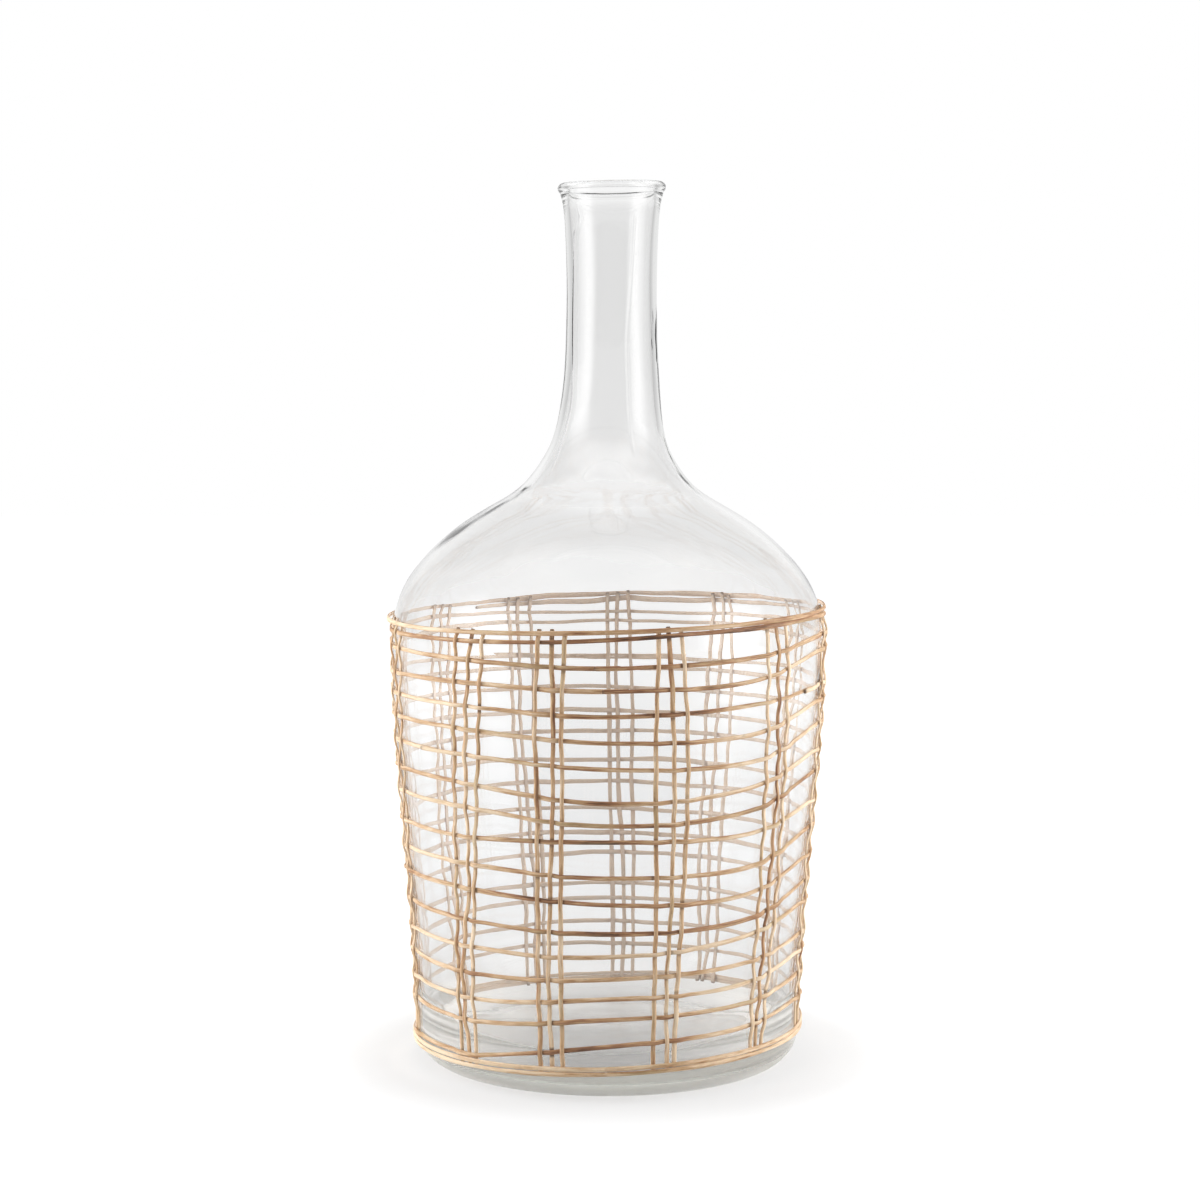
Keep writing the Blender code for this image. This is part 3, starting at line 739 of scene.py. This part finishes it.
def cane_material(name, shift):
    """Split cane: streaked fibres, stained patches, dark specks, cut ends, painted shade on edges and
    by crossings.
    """
    material, tree = node_tree(name)

    def attribute(kind):
        return add_node(tree, "Attribute", attribute_name=kind).outputs["Vector"]

    place = attribute("cane")
    # Tone with painted light and shade in it, darkened cut ends, and painted contact shadow with some
    # dirt
    tone, ends, contact_shade = coordinates(tree, attribute("tone_ends_shade"))
    skin = coordinates(tree, attribute("skin"))[0]

    def pattern(lengthwise, crosswise, detail, shift_by):
        mapped = add_node(tree, "Mapping", {"Vector": place, "Location": (shift_by, shift_by, 0),
                                            "Scale": (lengthwise, crosswise, SEED_SCALE)})
        found = add_node(tree, "TexNoise", {"Vector": mapped.outputs[0], "Scale": 1.0,
                                            "Detail": detail, "Roughness": PATTERN_ROUGHNESS})
        return found.outputs["Fac"]

    def band(value, start, end):
        """0 on the start's side and 1 on the end's side, whichever of them is higher."""
        return colour_ramp(tree, value, sorted(((start, (0, 0, 0)), (end, (1, 1, 1)))))

    fibres = pattern(*FIBRES)
    value = maths(tree, "ADD", tone, shift)
    changes = ((pattern(*PATCHES), PATCH_TONE), (pattern(*LONG_PATCHES), LONG_PATCH_TONE),
               (fibres, FIBRE_TONE))
    for change, share in changes:
        change = maths(tree, "MULTIPLY", maths(tree, "SUBTRACT", change, 0.5), share)
        value = maths(tree, "ADD", value, change)
    colour = colour_ramp(tree, value, TONE_COLOURS)

    # Stains and painted shade, the lowest first: where they lie, with the values where they
    # start and are full, their strength and their colour
    stains_and_shade = (
        (band(pattern(*OLIVE_PATCHES), 0.56, 0.70), 0.35, OLIVE),
        # Painted shade along both edges of the cane's face
        (band(skin, 0.62, 0.10), 0.68, RUSSET),
        (band(pattern(*SPECKS), 0.66, 0.74), 0.45, UMBER),
        (band(pattern(*BLOTCHES), 0.64, 0.76), 0.40, UMBER),
        # Painted contact shadow, with some dirt, beside the crossings
        (contact_shade, 0.75, UMBER),
        (band(skin, 0.12, 0.02), 0.85, PITH),
        (ends, 0.80, UMBER),
    )
    for cover, strength, mark_colour in stains_and_shade:
        colour = mix_colour(tree, maths(tree, "MULTIPLY", cover, strength), colour, mark_colour)
    bump = add_node(tree, "Bump", {"Height": fibres, "Strength": RELIEF_STRENGTH,
                                   "Distance": RELIEF_HEIGHT})
    shader = add_node(tree, "BsdfPrincipled", {
        "Base Color": colour, "Roughness": ramp(tree, fibres, 0.0, 1.0, *CANE_ROUGHNESS),
        "Normal": bump.outputs[0], "IOR": CANE_IOR})
    tree.links.new(shader.outputs[0], add_node(tree, "OutputMaterial").inputs["Surface"])
    return material


def glass_material():
    """Clear glass that takes a little light on the way, and lets the lamps through."""
    material, tree = node_tree("clear_glass")
    z = coordinates(tree, add_node(tree, "TexCoord").outputs["Object"])[2]
    rough = ramp(tree, z, MATT_HEIGHT, CLEAR_HEIGHT, UNDERSIDE_ROUGHNESS, 0.0)
    shader = add_node(tree, "BsdfPrincipled", {"Base Color": (1, 1, 1, 1), "Roughness": rough,
                                               "IOR": GLASS_IOR, "Transmission Weight": 1.0})
    clear = add_node(tree, "BsdfTransparent")
    rays = add_node(tree, "LightPath")
    lit = maths(tree, "MAXIMUM", rays.outputs["Is Shadow Ray"], rays.outputs["Is Diffuse Ray"])
    surface = add_node(tree, "MixShader", {0: lit, 1: shader.outputs[0], 2: clear.outputs[0]})
    inside = add_node(tree, "VolumeAbsorption", {"Color": GLASS_TINT, "Density": GLASS_DENSITY})
    add_node(tree, "OutputMaterial", {"Surface": surface.outputs[0], "Volume": inside.outputs[0]})
    return material


def ground_material():
    """Matt white that also glows, more so far off, so that the picture's ground stays white."""
    material, tree = node_tree("white_ground")
    spot = add_node(tree, "TexCoord").outputs["Object"]
    x, y, _ = coordinates(tree, spot)
    far = add_node(tree, "VectorMath", {0: spot}, operation='LENGTH').outputs["Value"]
    rays = add_node(tree, "LightPath").outputs
    seen = rays["Is Camera Ray"]
    unseen = maths(tree, "SUBTRACT", 1.0, seen)
    glow = ramp(tree, far, GLOW_START, GLOW_END, GLOW_NEAR, GLOW_FAR)

    # Painted shade: under the bottle the glow is weaker, most of all in front and in the middle
    below = ramp(tree, far, UNDER_START, UNDER_END, 1.0, 0.0)
    sides = maths(tree, "MULTIPLY", maths(tree, "POWER", x, 2.0), UNDER_SIDE_LIGHT)
    under_shade = maths(tree, "SUBTRACT", UNDER_SHADE_DIM, maths(tree, "MULTIPLY", y, UNDER_SLOPE))
    under_shade = maths(tree, "MULTIPLY", maths(tree, "SUBTRACT", under_shade, sides), below)
    glow = maths(tree, "SUBTRACT", glow, maths(tree, "MULTIPLY", under_shade, unseen))

    # The camera sees a soft shadow
    narrow = add_node(tree, "Mapping", {"Vector": spot, "Scale": (SHADE_SQUEEZE, 1, 1)}).outputs[0]
    near = add_node(tree, "VectorMath", {0: narrow}, operation='LENGTH').outputs["Value"]
    shade = ramp(tree, near, SHADE_START, SHADE_END, SEEN_GLOW - SHADE_DIM, SEEN_GLOW,
                 interpolation_type='SMOOTHSTEP')
    glow = maths(tree, "ADD", glow, maths(tree, "MULTIPLY", shade, seen))

    # For all but the camera the ground is dimmer
    dim = maths(tree, "MULTIPLY", rays["Is Diffuse Ray"], BOUNCE_DIM)
    around = ramp(tree, far, GLASS_DIM_START, GLASS_DIM_END, NEAR_GLASS_DIM, FAR_GLASS_DIM)
    front = ramp(tree, y, FLOOR_FRONT_START, FLOOR_FRONT_END, 0.0, FLOOR_FRONT_DIM)
    dim = maths(tree, "ADD", maths(tree, "ADD", dim, around), front)
    glow = maths(tree, "SUBTRACT", glow, maths(tree, "MULTIPLY", dim, unseen))
    glow = maths(tree, "MAXIMUM", glow, 0.0)
    # The painted shade under the bottle is warmer in colour
    colour = mix_colour(tree, maths(tree, "MULTIPLY", below, unseen), (1, 1, 1), UNDER_SHADE_COLOUR)
    shader = add_node(tree, "BsdfPrincipled", {
        "Base Color": GROUND_COLOUR, "Roughness": GROUND_ROUGHNESS, "Specular IOR Level": 0.0,
        "Emission Color": colour, "Emission Strength": glow})
    tree.links.new(shader.outputs[0], add_node(tree, "OutputMaterial").inputs["Surface"])
    return material


# Glass bottle

def resampled(points, step):
    """Points at even steps of about this length along an outline, ends included."""
    points = np.array(points)
    lengths = np.concatenate([[0], np.cumsum(np.linalg.norm(np.diff(points, axis=0), axis=1))])
    marks = np.linspace(0, lengths[-1], int(lengths[-1] / step) + 2)
    return [tuple(float(np.interp(m, lengths, points[:, k])) for k in (0, 1)) for m in marks]


def curve_through(points):
    """Smooth curve through outline points, ends included."""
    points = [points[0]] + list(points) + [points[-1]]
    curve = []
    for p0, p1, p2, p3 in zip(points, points[1:], points[2:], points[3:]):
        for i in range(CURVE_STEPS):
            t = i / CURVE_STEPS
            curve.append(tuple(
                0.5 * (2 * p1[k] + (p2[k] - p0[k]) * t
                       + (2 * p0[k] - 5 * p1[k] + 4 * p2[k] - p3[k]) * t * t
                       + (3 * p1[k] - p0[k] - 3 * p2[k] + p3[k]) * t ** 3) for k in (0, 1)))
    return curve + [points[-1]]


def smoothed(points):
    """Evenly spaced points of an outline with its small kinks worn off, ends kept."""
    points = np.array(resampled(points, SMOOTHING_STEP))
    for _ in range(SMOOTHING_ROUNDS):
        points[1:-1] = (points[:-2] + 2 * points[1:-1] + points[2:]) / 4
    return [tuple(p) for p in points.tolist()]


def body_rows(end):
    """Outside of the body from the neck's outline down to a height."""
    return [(body_radius(z), z) for z in np.linspace(NECK_END_HEIGHT, end, BODY_ROWS)]


def neck_curve(start=()):
    """Smooth outside of the neck down to the body, after some points of the lip."""
    end = (body_radius(NECK_END_HEIGHT), NECK_END_HEIGHT)
    return smoothed(curve_through((*start, *NECK_OUTLINE, end)))


def outside_outline():
    """Outside of the glass from the top of the lip to the middle of the punt."""
    bead_height = BOTTLE_HEIGHT - LIP_HALF_HEIGHT
    bead_axis = LIP_RADIUS - LIP_BEAD_RADIUS
    lip = []
    for angle in LIP_ANGLES:
        a = radians(angle)
        lip.append((bead_axis + LIP_BEAD_RADIUS * cos(a), bead_height + LIP_HALF_HEIGHT * sin(a)))
    neck = resampled(lip[:-1] + neck_curve(lip[-1:]), GLASS_STEP)
    heel = []
    for angle in HEEL_ANGLES[1:]:
        a = radians(angle)
        heel.append((FOOT_RADIUS + (HEEL_RADIUS - FOOT_RADIUS) * cos(a), HEEL_HEIGHT * (1 - sin(a))))
    edge = FOOT_RADIUS - FOOT_WIDTH
    punt = [(edge * (1 - t), PUNT_RISE * (1 - (1 - t) ** 3)) for t in np.linspace(0, 1, PUNT_ROWS)]
    return neck + body_rows(HEEL_HEIGHT)[1:] + heel + punt


def inside_outline():
    """Inside of the glass from the mouth to the middle of the floor."""
    outer = neck_curve() + body_rows(FLOOR_THICKNESS + INNER_HEEL_RADIUS)[1:]
    highest = MOUTH_OUTLINE[-1][1] - MOUTH_GAP
    wall = []
    for before, here, after in zip(outer, outer[1:], outer[2:]):
        run, rise = after[0] - before[0], after[1] - before[1]
        length = hypot(run, rise)
        thickness = smooth_value(WALLS, here[1])
        wall.append((here[0] + thickness * rise / length, here[1] - thickness * run / length))
    wall = smoothed([MOUTH_OUTLINE[-1]] + [p for p in wall if p[1] < highest])
    corner, top = wall[-1]
    heel = []
    for angle in HEEL_ANGLES[1:]:
        a = radians(angle)
        heel.append((corner - INNER_HEEL_RADIUS * (1 - cos(a)), top - (top - FLOOR_THICKNESS) * sin(a)))
    edge = heel[-1][0]
    floor = [(edge * (1 - t), FLOOR_THICKNESS + PUNT_RISE * t * t)
             for t in np.linspace(0, 1, FLOOR_ROWS)[1:]]
    return resampled(list(MOUTH_OUTLINE[:-1]) + wall, GLASS_STEP) + heel + floor


def eased(x, start, end):
    """Rises smoothly from 0 at the start to 1 at the end."""
    share = min(max((x - start) / (end - start), 0), 1)
    return share * share * (3 - 2 * share)


def bell(x):
    """1 at 0, and near to 0 from 2 on."""
    return 2.718 ** (-x * x)


def signed(azimuth):
    """The same azimuth between -180 and 180."""
    return (azimuth + 180) % FULL_TURN - 180


def column_azimuths():
    """Azimuths of the glass's columns: even steps, and finer ones where a crease runs."""
    azimuths = {FULL_TURN * i / GLASS_SEGMENTS for i in range(GLASS_SEGMENTS)}
    for _, _, marks in CREASES:
        first = min(a for _, a in marks) - CREASE_MARGIN
        last = max(a for _, a in marks) + CREASE_MARGIN
        azimuths = {a for a in azimuths if not first < signed(a) < last}
        count = int((last - first) / CREASE_STEP) + 1
        azimuths |= {(first + CREASE_STEP * i) % FULL_TURN for i in range(count)}
    return sorted(azimuths)


def creased(radius, z, azimuth):
    """How deep the creases are at a place on the outside."""
    total = 0
    for depth, width, marks in CREASES:
        bottom, top = marks[0][0], marks[-1][0]
        if bottom < z < top:
            away = radians(signed(azimuth - smooth_value(marks, z))) * radius / width
            fade = eased(z, bottom, bottom + CREASE_FADE) * eased(top - z, 0, CREASE_END_FADE)
            total += depth * fade * bell(away)
    return total


def uneven(radius, z, azimuth, inner):
    """How far the glass swells at a place, from long waves, short ripples and the rough patch."""
    a = radians(azimuth)
    drawn = eased(z, LEAN_START, LEAN_END)
    spot = Vector((radius * sin(a), -radius * cos(a), z))
    neck_spot = Vector((spot.x, spot.y, z / NECK_STRETCH))
    shift = Vector(INSIDE_SHIFT if inner else OUTSIDE_SHIFT)

    def blended(length, neck_length):
        here = noise.noise(spot / length + shift)
        return here * (1 - drawn) + noise.noise(neck_spot / neck_length + shift) * drawn

    long_wave = blended(WAVE_LENGTH, WAVE_LENGTH)
    ripple = blended(RIPPLE_LENGTH, NECK_RIPPLE_LENGTH)
    if not inner:
        return OUTSIDE_WAVE * (1 + drawn) * (long_wave + OUTSIDE_RIPPLE * ripple)
    low = eased(z, FLOOR_WAVE_START, FLOOR_WAVE_END)
    rough = ROOT_WAVE * bell((z - ROOT_HEIGHT) / ROOT_REACH) * noise.noise(spot / ROOT_LENGTH + shift)
    height = INSIDE_WAVE + (NECK_WAVE - INSIDE_WAVE) * drawn + (FLOOR_WAVE - INSIDE_WAVE) * low
    share = INSIDE_RIPPLE + NECK_RIPPLE * drawn + FLOOR_RIPPLE * low
    return height * (long_wave + share * ripple) + rough


def settled(x, y, z):
    """Moves a point of the straight bottle to where the leaning neck and tilted lip have it."""
    tilt = min(max((z - LEAN_END) / (BOTTLE_HEIGHT - LEAN_END), 0), 1) ** 3
    rise = x * sin(radians(LIP_TILT)) + (y + LIP_RADIUS) * sin(radians(LIP_BACK_TILT))
    return x + NECK_LEAN * eased(z, LEAN_START, LEAN_END), y, z + rise * tilt


def add_glass():
    """One closed shell: down the outside, and up the inside."""
    outer = outside_outline()
    inner = inside_outline()
    rows = [(r, z, False) for r, z in outer[:-1]] + [(r, z, True) for r, z in inner[1:-1]][::-1]
    azimuths = column_azimuths()
    size = len(azimuths)
    vertices = []
    for radius, z, within in rows:
        flat = min(max(z / HEEL_HEIGHT, 0), 1) if not within else 1
        near_lip = min(max((BOTTLE_HEIGHT - z) / EVEN_LIP_DEPTH, 0), 1)
        share = flat * near_lip * min(radius / EVEN_MIDDLE_RADIUS, 1)
        for azimuth in azimuths:
            r = radius + uneven(radius, z, azimuth, within) * share
            if not within:
                r -= creased(radius, z, azimuth)
            a = radians(azimuth)
            vertices.append(settled(r * sin(a), -r * cos(a), z))
    top = len(vertices)
    vertices += [(0, 0, outer[-1][1]), (0, 0, inner[-1][1])]
    faces = []
    count = len(rows)
    split = len(outer) - 1
    for j in range(count):
        k = (j + 1) % count
        if j == split - 1:
            continue
        for i in range(size):
            n = (i + 1) % size
            faces.append((j * size + i, k * size + i, k * size + n, j * size + n))

    # Fans close the middle of the punt and of the floor
    under, ground = (split - 1) * size, split * size
    for i in range(size):
        n = (i + 1) % size
        faces.append((under + i, top, under + n))
        faces.append((ground + n, top + 1, ground + i))
    mesh = bpy.data.meshes.new("blown_bottle")
    mesh.from_pydata(vertices, [], faces)
    mesh.polygons.foreach_set("use_smooth", [True] * len(mesh.polygons))
    mesh.update()
    add_piece("blown_bottle", mesh, glass_material(), "glass_bottle")


# Jacket

# Material slots of the cane, and how much darker each is
SLOT_SHIFTS = {"rattan_honey": 0.02, "rattan_pale": -0.10, "rattan_brown": 0.10,
               "rattan_tan": 0.0, "rattan_cream": -0.16}
SLOTS = tuple(SLOT_SHIFTS)

# Borders: node, height, rise above it, level above the seat, slot and tone
BORDERS = (
    ("top_border", top_border_height, 0, OVER_LEVEL + LAP_LEVEL * TOP_BORDER_LIFT_SHARE,
     "rattan_honey", 0.42),
    ("bottom_border_lower", bottom_border_height, 0, OVER_LEVEL, "rattan_tan", 0.30),
    ("bottom_border_upper", bottom_border_height, BORDER_SPACING, OVER_LEVEL, "rattan_pale", 0.36),
)


def add_jacket():
    materials = {slot: cane_material(slot + "_cane", shift) for slot, shift in SLOT_SHIFTS.items()}

    def add_cane(node, slot, *cane, closed=False):
        mesh = cane_mesh("split_" + node, *cane, closed=closed)
        add_piece("split_" + node, mesh, materials[slot], node)

    crossings = find_crossings()
    for stake in range(STAKE_COUNT):
        group, member = group_and_member(stake)
        node = "stake_%02d_%s" % (group + 1, STAKE_SIDES[member + 1])
        route, marks = stake_route(stake, crossings)
        # Painted light: the stakes are paler towards the sides
        tone = STAKE_TONES[member + 1] + SIDE_STAKE_LIGHT * abs(sin(radians(STAKE_GROUPS[group][0])))
        add_cane(node, SLOTS[stake % len(SLOTS)], route, marks, stake * STAKE_SEED_STEP, tone)
    half = LAP_ANGLE / 2
    cuts = [winding_of(mark) for mark in LAPS]
    starts = [winding_of(WEAVER_START)] + [cut - half for cut in cuts]
    ends = [cut + half for cut in cuts] + [winding_of(WEAVER_END)]
    for number, (start, end) in enumerate(zip(starts, ends)):
        route, marks = weaver_route(start, end, number == 0, number == len(cuts), crossings)
        seed = WEAVER_SEED + number * WEAVER_SEED_STEP
        add_cane("weaver_%d" % (number + 1), SLOTS[(number + 1) % len(SLOTS)], route, marks, seed, 0)
    for number, (node, height, rise, level, slot, tone) in enumerate(BORDERS):
        seed = BORDER_SEED + number * BORDER_SEED_STEP
        add_cane(node, slot, border_route(height, rise, level), (), seed, tone, closed=True)


# Studio

# Lamps: name, place, width, height, power, and whether gloss and glass show them
LAMPS = (
    ("left_softbox", (-1.40, 0.12, 0.55), 1.7, 1.8, 22.0, False),
    ("right_softbox", (1.40, 0.12, 0.55), 1.7, 1.8, 22.0, False),
    ("left_gloss_box", (-1.35, -0.45, 0.55), 1.3, 1.6, 4.8, True),
    ("right_gloss_box", (1.35, -0.45, 0.55), 1.3, 1.6, 4.8, True),
    ("top_softbox", (-0.35, -0.85, 1.60), 1.2, 0.9, 3.0, False),
)
AIM = (0, 0, 0.25)

# The lamps fade to their edges, and this gain keeps their mean strength
FADE_GAIN = 6.0

# Ground, and its glow by the distance from the bottle
FLOOR_HALF_WIDTH = 6.0
GROUND_COLOUR = (0.500, 0.503, 0.507, 1)
GROUND_ROUGHNESS = 0.9
GLOW_START = 0.25
GLOW_END = 1.1
GLOW_NEAR = 0.57
GLOW_FAR = 0.76

# Painted shade under the bottle: how much weaker the glow is, more so in front and less at the sides,
# and its colour
UNDER_START = 0.125
UNDER_END = 0.150
UNDER_SHADE_DIM = 0.23
UNDER_SLOPE = 0.6
UNDER_SIDE_LIGHT = 40
UNDER_SHADE_COLOUR = (1.0, 0.965, 0.915)

# What the camera sees of the ground: its extra glow, and the soft shadow
SEEN_GLOW = 0.05
SHADE_START = 0.105
SHADE_END = 0.220
SHADE_DIM = 0.28
SHADE_SQUEEZE = 1.10

# How much dimmer the ground is for all else, by the distance and towards the front
BOUNCE_DIM = 0.22
GLASS_DIM_START = 1.0
GLASS_DIM_END = 2.2
NEAR_GLASS_DIM = 0.28
FAR_GLASS_DIM = 0.035
FLOOR_FRONT_START = -0.25
FLOOR_FRONT_END = -0.90
FLOOR_FRONT_DIM = 0.30

# Room: its light below the horizon, at it and above, by the rise of the look
SUNK_LIGHT = 1.00
SUNK_START = -0.058
SUNK_END = -0.012
HORIZON_LIGHT = 0.83
HORIZON_START = 0.10
HORIZON_END = 0.22
ROOM_LIGHT = 0.95

# Shares of that light on the ceiling, at the front and on the sides
CEILING_DIM = 0.30
CEILING_START = 0.30
CEILING_END = 0.80
FRONT_DIM = 0.30
FRONT_START = -0.45
FRONT_END = -0.80
WING_DIM = 0.58
WING_START = 0.42
WING_END = 0.80


def add_floor():
    mesh = bpy.data.meshes.new("floor")
    s = FLOOR_HALF_WIDTH
    mesh.from_pydata([(-s, -s, 0), (s, -s, 0), (s, s, 0), (-s, s, 0)], [], [(0, 1, 2, 3)])
    mesh.materials.append(ground_material())
    floor_object = bpy.data.objects.new("floor", mesh)
    bpy.context.scene.collection.objects.link(floor_object)


def add_softbox(name, place, width, height, power, in_gloss):
    """Soft lamp aimed at the bottle, bright in the middle and fading to its edges."""
    light = bpy.data.lights.new(name, 'AREA')
    light.shape = 'RECTANGLE'
    light.size, light.size_y = width, height
    light.energy = power
    light.use_nodes = True
    tree = light.node_tree
    tree.nodes.clear()
    fades = []
    for share in coordinates(tree, add_node(tree, "NewGeometry").outputs["Parametric"])[:2]:
        rise = maths(tree, "MULTIPLY", share, maths(tree, "SUBTRACT", 1.0, share))
        fades.append(maths(tree, "MULTIPLY", rise, FADE_GAIN))
    strength = maths(tree, "MULTIPLY", *fades)
    glow = add_node(tree, "Emission", {"Strength": strength})
    tree.links.new(glow.outputs[0], add_node(tree, "OutputLight").inputs["Surface"])
    box = bpy.data.objects.new(name, light)
    box.location = place
    box.rotation_euler = (Vector(AIM) - Vector(place)).to_track_quat('-Z', 'Y').to_euler()
    box.visible_camera = False
    box.visible_glossy = in_gloss
    box.visible_transmission = in_gloss
    bpy.context.scene.collection.objects.link(box)


def add_world():
    """White for the camera; for all else a room with a dimmer ceiling, front and sides."""
    world = bpy.data.worlds.new("white_room")
    bpy.context.scene.world = world
    world.use_nodes = True
    tree = world.node_tree
    tree.nodes.clear()
    x, y, z = coordinates(tree, add_node(tree, "TexCoord").outputs["Generated"])
    rays = add_node(tree, "LightPath").outputs
    sunk = ramp(tree, z, SUNK_START, SUNK_END, SUNK_LIGHT - HORIZON_LIGHT, 0.0)
    room = ramp(tree, z, HORIZON_START, HORIZON_END, HORIZON_LIGHT, ROOM_LIGHT)
    room = maths(tree, "ADD", room, sunk)
    ceiling = ramp(tree, z, CEILING_START, CEILING_END, 1.0, CEILING_DIM)
    ceiling = maths(tree, "MAXIMUM", ceiling, rays["Is Transmission Ray"])
    front = ramp(tree, y, FRONT_START, FRONT_END, 1.0, FRONT_DIM)
    wing = ramp(tree, maths(tree, "ABSOLUTE", x), WING_START, WING_END, 1.0, WING_DIM)
    wing = maths(tree, "MAXIMUM", wing, rays["Is Diffuse Ray"])
    light = room
    for share in (ceiling, front, wing):
        light = maths(tree, "MULTIPLY", light, share)
    seen = add_node(tree, "Mix", {0: rays["Is Camera Ray"], 2: light, 3: 1.0}).outputs[0]
    background = add_node(tree, "Background", {"Color": (1, 1, 1, 1), "Strength": seen})
    tree.links.new(background.outputs[0], add_node(tree, "OutputWorld").inputs["Surface"])


def add_camera():
    camera = bpy.data.cameras.new("photo_view")
    camera.lens = LENS_MM
    camera.sensor_width = SENSOR_MM
    view = bpy.data.objects.new("photo_view", camera)
    view.location = (0, -CAMERA_DISTANCE, CAMERA_HEIGHT)
    view.rotation_euler = (radians(90 - CAMERA_PITCH), 0, radians(CAMERA_YAW))
    bpy.context.scene.collection.objects.link(view)
    bpy.context.scene.camera = view


def set_picture():
    scene = bpy.context.scene
    scene.view_settings.view_transform = 'Standard'
    scene.cycles.max_bounces = 32
    scene.cycles.transmission_bounces = 32
    scene.cycles.glossy_bounces = 10
    scene.cycles.diffuse_bounces = 4
    scene.cycles.blur_glossy = 0.5


add_camera()
add_world()
add_floor()
for lamp in LAMPS:
    add_softbox(*lamp)
set_picture()
add_glass()
add_jacket()
